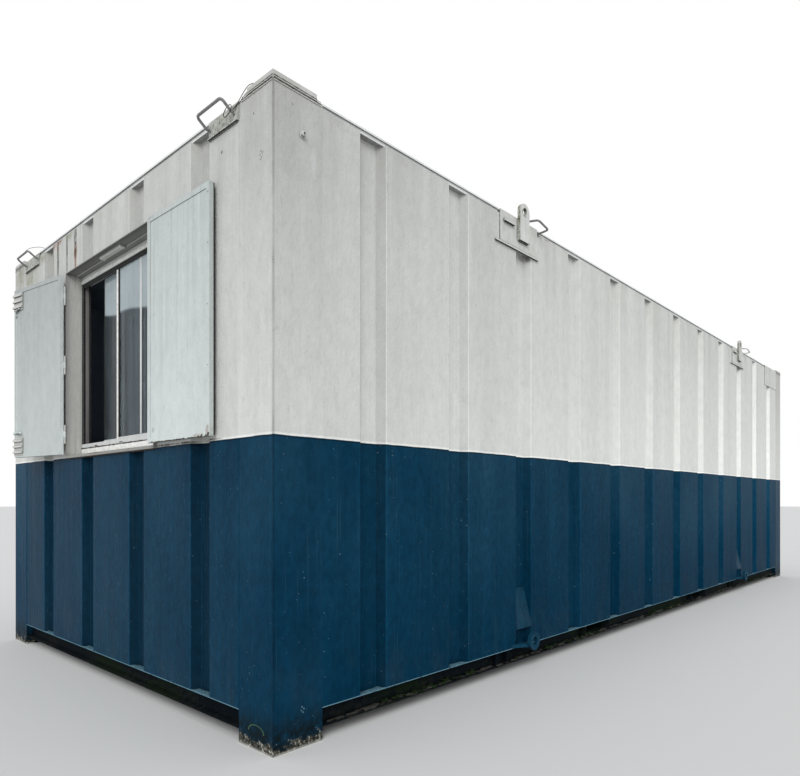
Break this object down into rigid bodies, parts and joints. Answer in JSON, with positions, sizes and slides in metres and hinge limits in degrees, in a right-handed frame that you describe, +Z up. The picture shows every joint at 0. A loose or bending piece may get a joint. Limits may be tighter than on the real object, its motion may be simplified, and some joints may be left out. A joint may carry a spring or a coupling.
{
  "type": "portable site cabin",
  "caption": "Long steel site cabin with corrugated two-tone walls, a shuttered end window, corner posts, lifting lugs and fork pockets.",
  "frame": {"origin": "on the ground under the middle of the whole, open shutters included", "axes": "+X along the cabin with the window end facing -X, +Y to the back wall with the door, +Z up"},
  "size_m": [7.9876, 3.154, 2.666],
  "materials": {
    "bare_steel": "dull galvanised steel",
    "base_paint": "dark blue paint under dirt and rust",
    "blue_paint": "weathered satin dark blue paint",
    "floor_board": "grey vinyl over board",
    "glass": "clear glass",
    "lamp_plastic": "white moulded cover",
    "two_tone_paint": "white above, dark blue below, weathered satin paint on corrugated steel",
    "wall_board": "plain faced board",
    "white_paint": "weathered satin white paint",
    "window_aluminium": "mill finish aluminium"
  },
  "bodies": {
    "cabin": {"back_lining": "wall_board", "back_wall_left": "two_tone_paint", "back_wall_over_door": "two_tone_paint", "back_wall_right": "two_tone_paint", "base_rails": "base_paint", "ceiling": "wall_board", "corner_caps": "white_paint", "corner_feet": "base_paint", "corner_posts": "two_tone_paint", "door_frame": "two_tone_paint", "door_handle": "bare_steel", "door_hinges": "bare_steel", "door_leaf": "two_tone_paint", "end_linings": "wall_board", "far_end_wall": "two_tone_paint", "fixed_sash": "window_aluminium", "fixed_sash_glass": "glass", "floor_deck": "floor_board", "floor_joists": "base_paint", "fork_pockets": "base_paint", "front_lining": "wall_board", "front_wall": "two_tone_paint", "hoop_ledges": "white_paint", "lifting_lugs": "white_paint", "lifting_plates": "white_paint", "lining_over_door": "wall_board", "rail_stiffeners": "base_paint", "reveal_liner": "white_paint", "roof_hoops": "bare_steel", "roof_sheet": "white_paint", "shutter_hinges": "bare_steel", "sliding_sash": "window_aluminium", "sliding_sash_glass": "glass", "soffit_lamp": "lamp_plastic", "tie_deflectors": "blue_paint", "tie_eyes": "blue_paint", "top_rails": "white_paint", "window_frame": "window_aluminium", "window_packers": "white_paint", "window_surround": "white_paint", "window_wall_bands": "two_tone_paint", "window_wall_sides": "two_tone_paint"},
    "near_shutter": {"near_shutter": "white_paint"},
    "far_shutter": {"far_shutter": "white_paint", "shutter_latches": "white_paint"}
  },
  "joints": [
    {"name": "near_shutter_hinge", "type": "hinge", "parent": "cabin", "child": "near_shutter", "pos_m": [-3.86769, -0.575, 1.7695], "axis": [0, 0, 1], "range_deg": [-181, 0]},
    {"name": "far_shutter_hinge", "type": "hinge", "parent": "cabin", "child": "far_shutter", "pos_m": [-3.86769, 0.525, 1.7695], "axis": [0, 0, 1], "range_deg": [-10.5, 170.5]}
  ]
}
